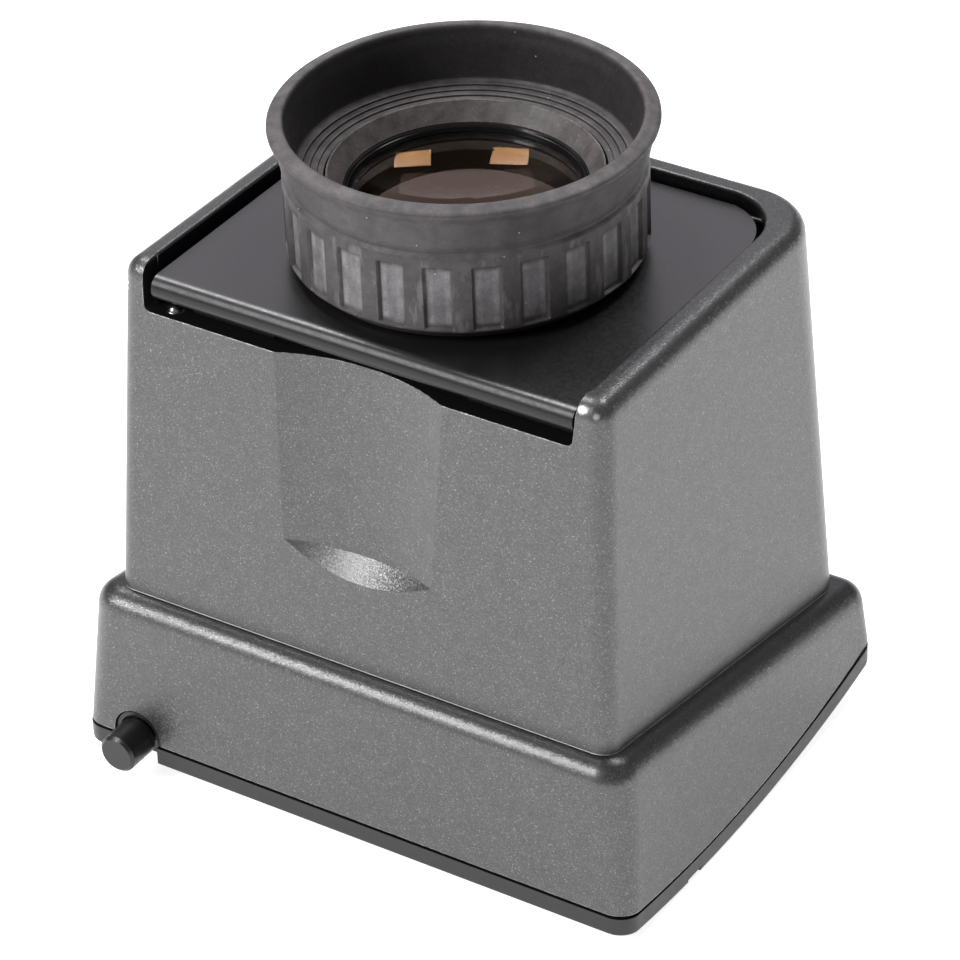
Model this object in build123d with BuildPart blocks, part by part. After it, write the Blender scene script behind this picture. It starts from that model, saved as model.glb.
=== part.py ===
from build123d import *
import os
import math

os.makedirs("parts", exist_ok=True)

# ---------------------------------------------------------------------------
# Hand-held slide viewer.  Millimetres, +Z up, front is -Y, origin on the
# surface that the feet stand on, under the middle of the overall box.
# ---------------------------------------------------------------------------

# main references
eye_y = 0.9               # optical axis, y
board_z = 80.8            # top face of the lens board, z

# arched bottom: concentric arcs about an axis parallel to X
arc_y = eye_y - 10.3
arc_z = board_z + 114.8
r_plate_low = 195.3       # underside of the base plate
r_plate_up = 192.85       # floor of the base plate
r_plate_rim = 192.35      # raised rim round the base plate
rim_w = 1.8
r_shell_low = 191.85      # lower edge of the grey skirt (0.5 shadow gap)
r_gate_up = 191.65        # top of the film gate
r_press_low = 191.3       # underside of the pressure frame
r_press_up = 190.1

# base plan
base_half_w = 46.65
base_x = -0.45            # middle of the base plan, x
base_front = eye_y - 36.9
base_rear = eye_y + 36.0
plate_rear = eye_y + 35.0
base_corner = 3.2
base_corner_top = 5.2
base_draft = 4.0
wall_base = 2.4

# seam between hood and base skirt: a plane that falls towards the rear
seam_front_y = eye_y - 32.6
seam_front_z = board_z - 51.75
seam_slope = -0.155
shoulder_r = 3.5

# hood outer plan at the two loft levels (half width front, half width rear, y front, y rear)
hood_low_z = board_z - 64.0
hood_low = (41.95, 41.75, eye_y - 33.65, eye_y + 33.8, -0.25, 0.15)
hood_top_z = board_z + 1.6
hood_top = (39.2, 38.45, eye_y - 28.0, eye_y + 33.45, -0.25, 0.4)
# hood cavity plan at the same levels
cav_low = (38.35, 38.4, eye_y - 30.6, eye_y + 30.4, -0.3, 0.0)
cav_top = (35.15, 34.4, eye_y - 25.0, eye_y + 29.1, -0.5, 0.0)
front_wall_top = board_z - 5.4

# finger scoop
scoop_r = 33.0
scoop_tilt = 6.13
scoop_axis_y = eye_y - 58.81
scoop_tip = 25.9          # down the axis from the front wall's top

# lens board
board_t = 3.8
board_front = eye_y - 28.4
board_rear = eye_y + 28.4
board_half_front = 34.1
board_half_rear = 33.4
board_hole_r = 22.6
nose_r = board_t / 2
board_pin_y = board_rear - 1.0
board_pin_z = board_z - 1.05
board_pin_r = 0.6

# eyepiece (radii about the optical axis, z from the board's top)
cup_r = 27.0
band_r = 25.0
pockets = 24
lens_r = 16.9

follower_h = 4.2          # follower height above the board
focus_travel = 1.5        # lens cell, each way
focus_angle = 50.0        # focus ring, each way

# ball catch under the lip
catch_x = -31.9
catch_y = eye_y - 26.2

# knob
knob_x = -37.2
knob_z = board_z - 74.8
knob_r = 3.0
knob_front = eye_y - 42.1
knob_travel = 2.2
stem_r = 2.0

# screws that join the two shells
shell_screw_x = 39.7

# rear hinge of the shells
hinge_y = base_rear + 1.9
hinge_z = board_z - 73.1
hinge_r = 1.8
hinge_pin_r = 0.8


def plan(p):
    """Corner points of a trapezoid plan (front half width, rear half width, y front, y rear, x shift of the front and of the rear)."""
    return [(-p[0] + p[4], p[2]), (p[0] + p[4], p[2]), (p[1] + p[5], p[3]), (-p[1] + p[5], p[3])]


def seam_z(y):
    return seam_front_z + seam_slope * (y - seam_front_y)


def arc_at(y, r):
    return arc_z - math.sqrt(r * r - (y - arc_y) ** 2)


def finish(solid, label):
    solid.label = label
    export_step(solid, "parts/" + label + ".step")
    print(label, round(solid.volume, 1), "solids", len(solid.solids()), "valid", solid.is_valid)


YZ = Plane(origin=(0, 0, 0), x_dir=(0, 1, 0), z_dir=(1, 0, 0))   # local x = +Y, local y = +Z
EYE = Plane.XY.offset(board_z).move(Location((0, eye_y, 0)))
eye_axis = Axis((0, eye_y, 0), (0, 0, 1))


# ---------------------------------------------------------------------------
# base plate: thin arched plate with a window
# ---------------------------------------------------------------------------
with BuildPart() as base_plate:
    with BuildSketch(YZ):
        with Locations((arc_y, arc_z)):
            Circle(r_plate_low)
            Circle(r_plate_rim, mode=Mode.SUBTRACT)
        with Locations((arc_y, arc_z - r_plate_low)):
            Rectangle(90, 16, mode=Mode.INTERSECT)
    extrude(amount=60, both=True)
    with BuildSketch(Plane.XY.offset(-2)):
        with Locations((base_x, (base_front + plate_rear) / 2)):
            RectangleRounded(2 * base_half_w, plate_rear - base_front, base_corner)
    extrude(amount=30, mode=Mode.INTERSECT)
    # floor inside the raised rim
    with BuildSketch(Plane.XY.offset(-2), mode=Mode.PRIVATE) as floor_sk:
        with Locations((base_x, (base_front + plate_rear) / 2)):
            RectangleRounded(2 * (base_half_w - rim_w), plate_rear - base_front - 2 * rim_w, base_corner - 1.4)
    with BuildSketch(YZ, mode=Mode.PRIVATE) as disc_sk:
        with Locations((arc_y, arc_z)):
            Circle(r_plate_up)
    floor_cut = extrude(floor_sk.sketch, amount=30, mode=Mode.PRIVATE) & extrude(disc_sk.sketch, amount=60, both=True, mode=Mode.PRIVATE)
    add(floor_cut, mode=Mode.SUBTRACT)
    low = faces().sort_by(Axis.Z)[0]
    fillet(low.edges(), 0.45)
    # light window with a step for the diffuser
    with BuildSketch(Plane.XY.offset(-2)):
        with Locations((0, eye_y)):
            RectangleRounded(58, 56, 2)
    extrude(amount=20, mode=Mode.SUBTRACT)
    with BuildSketch(YZ):
        with BuildLine():
            l1 = ThreePointArc((eye_y - 30.0, arc_at(eye_y - 30.0, 194.0)), (eye_y, arc_at(eye_y, 194.0)),
                               (eye_y + 30.0, arc_at(eye_y + 30.0, 194.0)))
            l2 = Polyline(l1 @ 1, (eye_y + 30.0, 20), (eye_y - 30.0, 20), l1 @ 0)
        make_face()
    extrude(amount=31.0, both=True, mode=Mode.SUBTRACT)
    # clearance under the knob's head in the front edge
    with BuildSketch(Plane.XY.offset(-2)):
        with Locations((knob_x, base_front)):
            Rectangle(2 * knob_r + 0.8, 5.4)
    extrude(amount=20, mode=Mode.SUBTRACT)
    with BuildSketch(Plane(origin=(knob_x, base_front - 1, knob_z), x_dir=(1, 0, 0), z_dir=(0, 1, 0))):
        Circle(stem_r + 0.35)
    extrude(amount=11, mode=Mode.SUBTRACT)
    # small pry notch in the lower right edge
    with BuildSketch(YZ.offset(base_half_w + base_x - 1.6)):
        with Locations((eye_y - 18.4, arc_at(eye_y - 18.4, r_plate_low))):
            Rectangle(3.6, 1.5)
    extrude(amount=5, mode=Mode.SUBTRACT)
    # hinge knuckles at the rear
    with BuildSketch(YZ.offset(18.0)):
        with Locations((hinge_y, hinge_z)):
            Circle(hinge_r)
        with BuildLine():
            Polyline((plate_rear - 2.0, arc_at(plate_rear - 2.0, r_plate_up) - 0.1), (hinge_y, hinge_z + 0.1),
                     (hinge_y + 0.2, hinge_z - hinge_r), (plate_rear - 2.0, arc_at(plate_rear - 2.0, r_plate_low) + 0.1),
                     close=True)
        make_face()
        with Locations((hinge_y, hinge_z)):
            Circle(hinge_pin_r, mode=Mode.SUBTRACT)
    extrude(amount=8.0)
    with BuildSketch(YZ.offset(-26.0)):
        with Locations((hinge_y, hinge_z)):
            Circle(hinge_r)
        with BuildLine():
            Polyline((plate_rear - 2.0, arc_at(plate_rear - 2.0, r_plate_up) - 0.1), (hinge_y, hinge_z + 0.1),
                     (hinge_y + 0.2, hinge_z - hinge_r), (plate_rear - 2.0, arc_at(plate_rear - 2.0, r_plate_low) + 0.1),
                     close=True)
        make_face()
        with Locations((hinge_y, hinge_z)):
            Circle(hinge_pin_r, mode=Mode.SUBTRACT)
    extrude(amount=8.0)
    # relief behind the skirt's own knuckles
    with BuildSketch(YZ.offset(9.2)):
        with Locations((hinge_y, hinge_z)):
            Circle(hinge_r + 0.35)
    extrude(amount=8.8, mode=Mode.SUBTRACT)
    with BuildSketch(YZ.offset(-18.0)):
        with Locations((hinge_y, hinge_z)):
            Circle(hinge_r + 0.35)
    extrude(amount=8.8, mode=Mode.SUBTRACT)
finish(base_plate.part, "base_plate")

# ---------------------------------------------------------------------------
# feet: four rubber pads, trimmed to the arch
# ---------------------------------------------------------------------------
with BuildPart() as feet:
    with BuildSketch(Plane.XY):
        with Locations((-37, eye_y - 28), (37, eye_y - 28), (-37, eye_y + 28), (37, eye_y + 28)):
            Circle(3.6)
    extrude(amount=10)
    chamfer(edges().filter_by(GeomType.CIRCLE).group_by(Axis.Z)[0], 0.4)
    with BuildSketch(YZ):
        with Locations((arc_y, arc_z)):
            Circle(r_plate_low + 0.0)
    extrude(amount=60, both=True, mode=Mode.SUBTRACT)
finish(feet.part, "feet")

# ---------------------------------------------------------------------------
# diffuser: curved opal panel in the step of the base plate
# ---------------------------------------------------------------------------
with BuildPart() as diffuser:
    with BuildSketch(YZ):
        with Locations((arc_y, arc_z)):
            Circle(193.95)
            Circle(r_plate_up, mode=Mode.SUBTRACT)
        with Locations((eye_y, 5)):
            Rectangle(59.8, 20, mode=Mode.INTERSECT)
    extrude(amount=30.9, both=True)
finish(diffuser.part, "diffuser")

# ---------------------------------------------------------------------------
# film gate: curved black frame with film rails
# ---------------------------------------------------------------------------
with BuildPart() as film_gate:
    with BuildSketch(YZ):
        with Locations((arc_y, arc_z)):
            Circle(r_plate_up)
            Circle(r_gate_up, mode=Mode.SUBTRACT)
        with Locations((eye_y, 5)):
            Rectangle(63.6, 20, mode=Mode.INTERSECT)
    extrude(amount=33.2, both=True)
    with BuildSketch(Plane.XY.offset(-2)):
        with Locations((0, eye_y)):
            RectangleRounded(58, 56, 2)
    extrude(amount=20, mode=Mode.SUBTRACT)
    with BuildSketch(Plane.XY.offset(-2)):
        with Locations((-31.1, eye_y - 29.9), (31.1, eye_y - 29.9), (-31.1, eye_y + 29.9), (31.1, eye_y + 29.9)):
            Circle(0.85)
    extrude(amount=20, mode=Mode.SUBTRACT)
    # seats for the screw heads, level although the gate is curved
    for sy in (-29.9, 29.9):
        with BuildSketch(Plane.XY.offset(arc_at(eye_y + sy, r_gate_up) + 0.12)):
            with Locations((-31.1, eye_y + sy), (31.1, eye_y + sy)):
                Circle(1.6)
        extrude(amount=4, mode=Mode.SUBTRACT)
finish(film_gate.part, "film_gate")

with BuildPart() as gate_screws:
    for sy in (-29.9, 29.9):
        head_z = arc_at(eye_y + sy, r_gate_up) + 0.12
        with BuildSketch(Plane.XY.offset(head_z)):
            with Locations((-31.1, eye_y + sy), (31.1, eye_y + sy)):
                Circle(1.5)
                Rectangle(2.4, 0.4, mode=Mode.SUBTRACT)
        extrude(amount=0.7)
        with BuildSketch(Plane.XY.offset(head_z)):
            with Locations((-31.1, eye_y + sy), (31.1, eye_y + sy)):
                Circle(1.5)
        extrude(amount=0.25)
        with BuildSketch(Plane.XY.offset(head_z)):
            with Locations((-31.1, eye_y + sy), (31.1, eye_y + sy)):
                Circle(0.8)
        extrude(amount=-1.05)
finish(gate_screws.part, "gate_screws")

# ---------------------------------------------------------------------------
# knob, its bush, the latch slider, the spring and its post
# ---------------------------------------------------------------------------
KNOB = Plane(origin=(knob_x, 0, knob_z), x_dir=(1, 0, 0), z_dir=(0, -1, 0))   # normal towards the front

with BuildPart() as button_bush:
    with BuildSketch(KNOB.offset(-(eye_y - 34.1))):
        Circle(3.9)
        with Locations((0, -2)):
            Rectangle(7.8, 4)
        Circle(stem_r + 0.05, mode=Mode.SUBTRACT)
    extrude(amount=-4.0)
    with BuildSketch(YZ.offset(knob_x - 10)):
        with Locations((arc_y, arc_z)):
            Circle(r_plate_up)
    extrude(amount=20, mode=Mode.INTERSECT)
    # sleeve round the knob, above the plate's rim
    with BuildSketch(KNOB.offset(-(eye_y - 36.4)), mode=Mode.PRIVATE) as sleeve_sk:
        Circle(3.9)
        Circle(knob_r + 0.3, mode=Mode.SUBTRACT)
    with BuildSketch(YZ.offset(knob_x - 10), mode=Mode.PRIVATE) as above_sk:
        with Locations((arc_y, arc_z)):
            Circle(r_plate_rim)
    sleeve = extrude(sleeve_sk.sketch, amount=-2.4, mode=Mode.PRIVATE) & extrude(above_sk.sketch, amount=20, mode=Mode.PRIVATE)
    add(sleeve)
finish(button_bush.part, "button_bush")

with BuildPart() as release_button:
    # turned profile about the knob's axis: head, waist, stem
    with BuildSketch(Plane(origin=(knob_x, 0, knob_z), x_dir=(0, 1, 0), z_dir=(1, 0, 0))):
        with BuildLine():
            Polyline((knob_front, 0), (knob_front, knob_r - 0.45), (knob_front + 0.45, knob_r),
                     (eye_y - 36.6, knob_r), (eye_y - 36.6, stem_r), (eye_y - 27.4, stem_r), (eye_y - 27.4, 0), close=True)
        make_face()
    revolve(axis=Axis((knob_x, 0, knob_z), (0, 1, 0)))
finish(release_button.part, "release_button")

latch_y0 = eye_y - 27.4
with BuildPart() as latch_slider:
    with BuildSketch(Plane.XY.offset(4.1)):
        with Locations((knob_x, latch_y0 + 4.5)):
            Rectangle(6.0, 9.0)
    extrude(amount=4.3)
    with BuildSketch(Plane.XY.offset(8.3)):
        with Locations((knob_x, latch_y0 + 7.75)):
            Rectangle(6.0, 2.5)
    extrude(amount=6.0)
    with BuildSketch(Plane.XY.offset(12.5)):
        with Locations((knob_x, latch_y0 + 5.3)):
            Rectangle(6.0, 2.6)
    extrude(amount=1.8)
    chamfer(edges().filter_by(Axis.X).group_by(Axis.Z)[-1].sort_by(Axis.Y)[0], 1.0)
    # blind bore for the return spring
    with BuildSketch(Plane(origin=(knob_x, latch_y0 + 9.0, knob_z), x_dir=(1, 0, 0), z_dir=(0, 1, 0))):
        Circle(1.75)
    extrude(amount=-6.4, mode=Mode.SUBTRACT)
finish(latch_slider.part, "latch_slider")

with BuildPart() as spring_post:
    with BuildSketch(YZ.offset(knob_x - 3.0)):
        with BuildLine():
            Polyline((eye_y - 14.6, 8.6), (eye_y - 14.6, 2), (eye_y - 8.0, 2), (eye_y - 8.0, 4.6),
                     (eye_y - 12.4, 4.6), (eye_y - 12.4, 8.6), close=True)
        make_face()
    extrude(amount=6.0)
    with BuildSketch(YZ.offset(knob_x - 10)):
        with Locations((arc_y, arc_z)):
            Circle(r_plate_up)
    extrude(amount=20, mode=Mode.INTERSECT)
    with BuildSketch(Plane.XZ.offset(-(eye_y - 14.6))):
        with Locations((knob_x, knob_z)):
            Circle(0.9)
    extrude(amount=3.4)
finish(spring_post.part, "spring_post")

with BuildPart() as button_spring:
    # close turns of wire round the post's pin
    for i in range(5):
        with BuildSketch(Plane(origin=(knob_x, eye_y - 14.95 - 0.68 * i, knob_z), x_dir=(0, 1, 0), z_dir=(1, 0, 0))):
            with Locations((0, 1.3)):
                Circle(0.345)
        revolve(axis=Axis((knob_x, 0, knob_z), (0, 1, 0)))
finish(button_spring.part, "button_spring")

# ---------------------------------------------------------------------------
# base skirt
# ---------------------------------------------------------------------------
seam_plane = Plane(origin=(0, seam_front_y, seam_front_z), x_dir=(1, 0, 0),
                   z_dir=(0, -seam_slope, 1))
with BuildPart() as base_shell:
    grow = 0.2
    with BuildSketch(Plane.XY.offset(2.0)):
        with Locations((base_x, (base_front + base_rear) / 2)):
            RectangleRounded(2 * (base_half_w + grow), base_rear - base_front + 2 * grow, base_corner)
    shrink = 30 * math.tan(math.radians(base_draft))
    with BuildSketch(Plane.XY.offset(32.0)):
        with Locations((base_x, (base_front + base_rear) / 2)):
            RectangleRounded(2 * (base_half_w + grow - shrink), base_rear - base_front + 2 * (grow - shrink),
                             base_corner_top)
    loft(ruled=True)
    # top: the seam plane
    split(bisect_by=seam_plane, keep=Keep.BOTTOM)
    top = faces().sort_by(Axis.Z)[-1]
    fillet(top.edges(), shoulder_r)
    # cavity below the shoulder
    with BuildSketch(Plane.XY.offset(2.0)):
        with Locations((base_x, (base_front + base_rear) / 2)):
            RectangleRounded(2 * (base_half_w - wall_base), base_rear - base_front - 2 * wall_base, 1.5)
    cav = extrude(amount=30, taper=base_draft, mode=Mode.PRIVATE)
    cav2 = split(cav, bisect_by=seam_plane.offset(-2.6), keep=Keep.BOTTOM, mode=Mode.PRIVATE)
    add(cav2, mode=Mode.SUBTRACT)
    # opening under the hood
    with BuildSketch(Plane.XY.offset(8)):
        with Locations((0, eye_y - 0.15)):
            RectangleRounded(2 * 36.0, 58.4, 4)
    extrude(amount=40, mode=Mode.SUBTRACT)
    # arched lower edge
    with BuildSketch(YZ):
        with BuildLine():
            a1 = ThreePointArc((-60, arc_at(-60, r_shell_low)), (arc_y, arc_z - r_shell_low), (60, arc_at(60, r_shell_low)))
            Polyline(a1 @ 1, (60, -20), (-60, -20), a1 @ 0)
        make_face()
    extrude(amount=70, both=True, mode=Mode.SUBTRACT)
    # notch for the knob
    with BuildSketch(KNOB.offset(-(eye_y - 32.0))):
        Circle(4.15)
        with Locations((0, -4)):
            Rectangle(8.3, 8)
    extrude(amount=8, mode=Mode.SUBTRACT)
    # hinge knuckles
    for x0 in (9.6, -17.6):
        with BuildSketch(YZ.offset(x0)):
            with Locations((hinge_y, hinge_z)):
                Circle(hinge_r)
            with BuildLine():
                Polyline((base_rear - 1.4, hinge_z + 1.1), (hinge_y, hinge_z - 0.4), (hinge_y + 0.6, hinge_z + 1.7),
                         (base_rear - 1.8, hinge_z + 4.4), close=True)
            make_face()
            with Locations((hinge_y, hinge_z)):
                Circle(hinge_pin_r + 0.05, mode=Mode.SUBTRACT)
        extrude(amount=8.0)
    # room for the base plate's knuckles
    for x0 in (17.7, -26.3):
        with BuildSketch(YZ.offset(x0)):
            with Locations((hinge_y, hinge_z)):
                Circle(hinge_r + 0.35)
        extrude(amount=8.6, mode=Mode.SUBTRACT)
    # screw holes in the top web
    with BuildSketch(Plane.XY.offset(8)):
        with Locations((-shell_screw_x, eye_y - 20), (shell_screw_x, eye_y - 20),
                       (-shell_screw_x, eye_y + 20), (shell_screw_x, eye_y + 20)):
            Circle(1.0)
    extrude(amount=30, mode=Mode.SUBTRACT)
finish(base_shell.part, "base_shell")

with BuildPart() as base_hinge_pin:
    with BuildSketch(YZ.offset(-26.6)):
        with Locations((hinge_y, hinge_z)):
            Circle(hinge_pin_r)
    extrude(amount=53.2)
    fillet(edges().filter_by(GeomType.CIRCLE), 0.2)
finish(base_hinge_pin.part, "base_hinge_pin")

# ---------------------------------------------------------------------------
# hood
# ---------------------------------------------------------------------------
with BuildPart() as hood_shell:
    with BuildSketch(Plane.XY.offset(hood_low_z)):
        Polygon(*plan(hood_low), align=None)
        fillet(vertices().sort_by(Axis.Y)[:2], 2.8)
        fillet(vertices().sort_by(Axis.Y)[-2:], 6.5)
    with BuildSketch(Plane.XY.offset(hood_top_z)):
        Polygon(*plan(hood_top), align=None)
        fillet(vertices().sort_by(Axis.Y)[:2], 2.8)
        fillet(vertices().sort_by(Axis.Y)[-2:], 10.5)
    loft(ruled=True)
    # rounded outer rim
    rim = faces().sort_by(Axis.Z)[-1]
    fillet(rim.edges(), 2.8)
    # cavity
    with BuildSketch(Plane.XY.offset(hood_low_z)) as c1:
        Polygon(*plan(cav_low), align=None)
        fillet(vertices().sort_by(Axis.Y)[:2], 1.5)
        fillet(vertices().sort_by(Axis.Y)[-2:], 3.5)
    with BuildSketch(Plane.XY.offset(hood_top_z)) as c2:
        Polygon(*plan(cav_top), align=None)
        fillet(vertices().sort_by(Axis.Y)[:2], 1.2)
        fillet(vertices().sort_by(Axis.Y)[-2:], 9.3)
    loft(sections=[c1.sketch, c2.sketch], ruled=True, mode=Mode.SUBTRACT)
    inner_rim = faces().sort_by(Axis.Z)[-1].inner_wires()[0].edges()
    fillet(inner_rim, 0.5)
    # front opening above the front wall
    with BuildSketch(Plane.XZ.offset(42.0 - eye_y)):
        Polygon((-35.5, front_wall_top), (34.1, front_wall_top), (35.1, front_wall_top + 12.6),
                (-35.86, front_wall_top + 12.6), align=None)
        fillet(vertices().sort_by(Axis.Y)[:2], 1.2)
    extrude(amount=-17.6, mode=Mode.SUBTRACT)
    # boss behind the front wall for the ball catch
    with BuildSketch(Plane.XY.offset(front_wall_top)):
        with Locations((catch_x, eye_y - 25.7)):
            Rectangle(4.4, 2.4)
    extrude(amount=-6.0)
    # seam plane at the foot
    split(bisect_by=seam_plane, keep=Keep.TOP)
    # finger scoop
    ct, st = math.cos(math.radians(scoop_tilt)), math.sin(math.radians(scoop_tilt))
    SCOOP = Plane(origin=(0, scoop_axis_y, front_wall_top), x_dir=(0, ct, -st), z_dir=(1, 0, 0))
    with BuildSketch(SCOOP):
        with BuildLine():
            Polyline((0, 14), (scoop_r, 14), (scoop_r, -scoop_tip), (scoop_r - 3.6, -scoop_tip - 5.3),
                     (0, -scoop_tip - 5.3), close=True)
        make_face()
    revolve(axis=Axis((0, scoop_axis_y, front_wall_top), (0, st, ct)), mode=Mode.SUBTRACT)
    # holes for the board's hinge pins
    with BuildSketch(YZ.offset(-35.4)):
        with Locations((board_pin_y, board_pin_z)):
            Circle(board_pin_r)
    extrude(amount=5.9, mode=Mode.SUBTRACT)
    with BuildSketch(YZ.offset(29.5)):
        with Locations((board_pin_y, board_pin_z)):
            Circle(board_pin_r)
    extrude(amount=5.9, mode=Mode.SUBTRACT)
    # threaded holes in the foot
    for sy in (-20, 20):
        with BuildSketch(Plane.XY.offset(seam_z(eye_y + sy) - 2)):
            with Locations((-shell_screw_x, eye_y + sy), (shell_screw_x, eye_y + sy)):
                Circle(0.85)
        extrude(amount=8.2, mode=Mode.SUBTRACT)
    # seat of the ball catch in the front wall
    with BuildSketch(Plane.XY.offset(front_wall_top)):
        with Locations((catch_x, catch_y)):
            Circle(1.25)
    extrude(amount=-4.0, mode=Mode.SUBTRACT)
finish(hood_shell.part, "hood_shell")

# ---------------------------------------------------------------------------
# inside the hood
# ---------------------------------------------------------------------------
with BuildPart() as board_catch:
    # sleeve and ball of a spring catch
    with BuildSketch(Plane.XY.offset(front_wall_top)):
        with Locations((catch_x, catch_y)):
            Circle(1.25)
    extrude(amount=-3.9)
    chamfer(edges().filter_by(GeomType.CIRCLE).group_by(Axis.Z)[-1], 0.15)
    with BuildSketch(Plane(origin=(catch_x, catch_y, front_wall_top - 0.25), x_dir=(1, 0, 0), z_dir=(0, -1, 0))):
        Circle(0.95)
        Rectangle(2, 2, align=(Align.MAX, Align.CENTER), mode=Mode.SUBTRACT)
    revolve(axis=Axis((catch_x, catch_y, 0), (0, 0, 1)))
finish(board_catch.part, "board_catch")

with BuildPart() as shell_screws:
    for sy in (-20, 20):
        web = seam_z(eye_y + sy) - 2.6 - 0.75
        with BuildSketch(Plane.XY.offset(web - 1.2)):
            with Locations((-shell_screw_x, eye_y + sy), (shell_screw_x, eye_y + sy)):
                Circle(1.7)
        extrude(amount=1.2)
        with BuildSketch(Plane.XY.offset(web)):
            with Locations((-shell_screw_x, eye_y + sy), (shell_screw_x, eye_y + sy)):
                Circle(0.83)
        extrude(amount=8.6)
        with BuildSketch(Plane.XY.offset(web - 1.2)):
            with Locations((-shell_screw_x, eye_y + sy), (shell_screw_x, eye_y + sy)):
                Rectangle(2.4, 0.45)
        extrude(amount=0.5, mode=Mode.SUBTRACT)
finish(shell_screws.part, "shell_screws")

with BuildPart() as board_seat:
    with BuildSketch(Plane.XY.offset(board_z - 5.7)):
        Polygon((-35.2, eye_y - 25.3), (34.4, eye_y - 25.3), (34.2, eye_y + 28.7), (-34.2, eye_y + 28.7), align=None)
        fillet(vertices().sort_by(Axis.Y)[-2:], 9.3)
        with Locations((catch_x, eye_y - 25.3)):
            Rectangle(4.9, 2.4, mode=Mode.SUBTRACT)
        with Locations((0, eye_y)):
            Circle(25.6, mode=Mode.SUBTRACT)
        with Locations((0, eye_y - 20)):
            Rectangle(31.6, 12, mode=Mode.SUBTRACT)
    extrude(amount=1.5)
finish(board_seat.part, "board_seat")

with BuildPart() as light_baffle:
    with BuildSketch(Plane.XY.offset(12.2)):
        with Locations((0, eye_y - 0.2)):
            RectangleRounded(65.0, 57.2, 2.0)
    with BuildSketch(Plane.XY.offset(board_z - 5.8)):
        with Locations((0, eye_y)):
            RectangleRounded(57.0, 50.6, 2.0)
    loft(ruled=True)
    with BuildSketch(Plane.XY.offset(12.2)) as b1:
        with Locations((0, eye_y - 0.2)):
            RectangleRounded(63.2, 55.4, 1.2)
    with BuildSketch(Plane.XY.offset(board_z - 5.8)) as b2:
        with Locations((0, eye_y)):
            RectangleRounded(55.2, 48.8, 1.2)
    loft(sections=[b1.sketch, b2.sketch], ruled=True, mode=Mode.SUBTRACT)
finish(light_baffle.part, "light_baffle")

with BuildPart() as pressure_foam:
    with BuildSketch(Plane.XY.offset(4)):
        with Locations((0, eye_y - 0.2)):
            RectangleRounded(65.0, 57.6, 2.0)
            RectangleRounded(61.0, 54.4, 1.2, mode=Mode.SUBTRACT)
    extrude(amount=8.15)
    with BuildSketch(YZ):
        with BuildLine():
            a1 = ThreePointArc((-60, arc_at(-60, r_press_up - 0.05)), (arc_y, arc_z - r_press_up + 0.05),
                               (60, arc_at(60, r_press_up - 0.05)))
            Polyline(a1 @ 1, (60, -20), (-60, -20), a1 @ 0)
        make_face()
    extrude(amount=70, both=True, mode=Mode.SUBTRACT)
finish(pressure_foam.part, "pressure_foam")

with BuildPart() as pressure_frame:
    with BuildSketch(YZ):
        with Locations((arc_y, arc_z)):
            Circle(r_press_low)
            Circle(r_press_up, mode=Mode.SUBTRACT)
        with Locations((eye_y, 5)):
            Rectangle(62.0, 24, mode=Mode.INTERSECT)
    extrude(amount=32.9, both=True)
    with BuildSketch(Plane.XY.offset(-2)):
        with Locations((0, eye_y)):
            RectangleRounded(57, 55, 2)
        with Locations((-31.1, eye_y - 29.9), (31.1, eye_y - 29.9), (-31.1, eye_y + 29.9), (31.1, eye_y + 29.9)):
            Rectangle(5.4, 5.4)
    extrude(amount=20, mode=Mode.SUBTRACT)
finish(pressure_frame.part, "pressure_frame")

with BuildPart() as latch_catch:
    with BuildSketch(Plane.XY.offset(10.7)):
        with Locations((-39.1, latch_y0 + 2.15)):
            Rectangle(8.2, 3.1)
    extrude(amount=1.4)
    chamfer(edges().filter_by(Axis.X).group_by(Axis.Z)[0].sort_by(Axis.Y)[-1], 0.8)
    with BuildSketch(Plane.XY.offset(12.0)):
        with Locations((-42.5, latch_y0 + 2.15)):
            Rectangle(1.2, 3.1)
    extrude(amount=4.0)
    add(base_shell.part, mode=Mode.SUBTRACT)
finish(latch_catch.part, "latch_catch")

with BuildPart() as board_hinge_pins:
    with BuildSketch(YZ.offset(-35.3)):
        with Locations((board_pin_y, board_pin_z)):
            Circle(board_pin_r)
    extrude(amount=10.3)
    with BuildSketch(YZ.offset(25.0)):
        with Locations((board_pin_y, board_pin_z)):
            Circle(board_pin_r)
    extrude(amount=10.3)
finish(board_hinge_pins.part, "board_hinge_pins")

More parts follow.
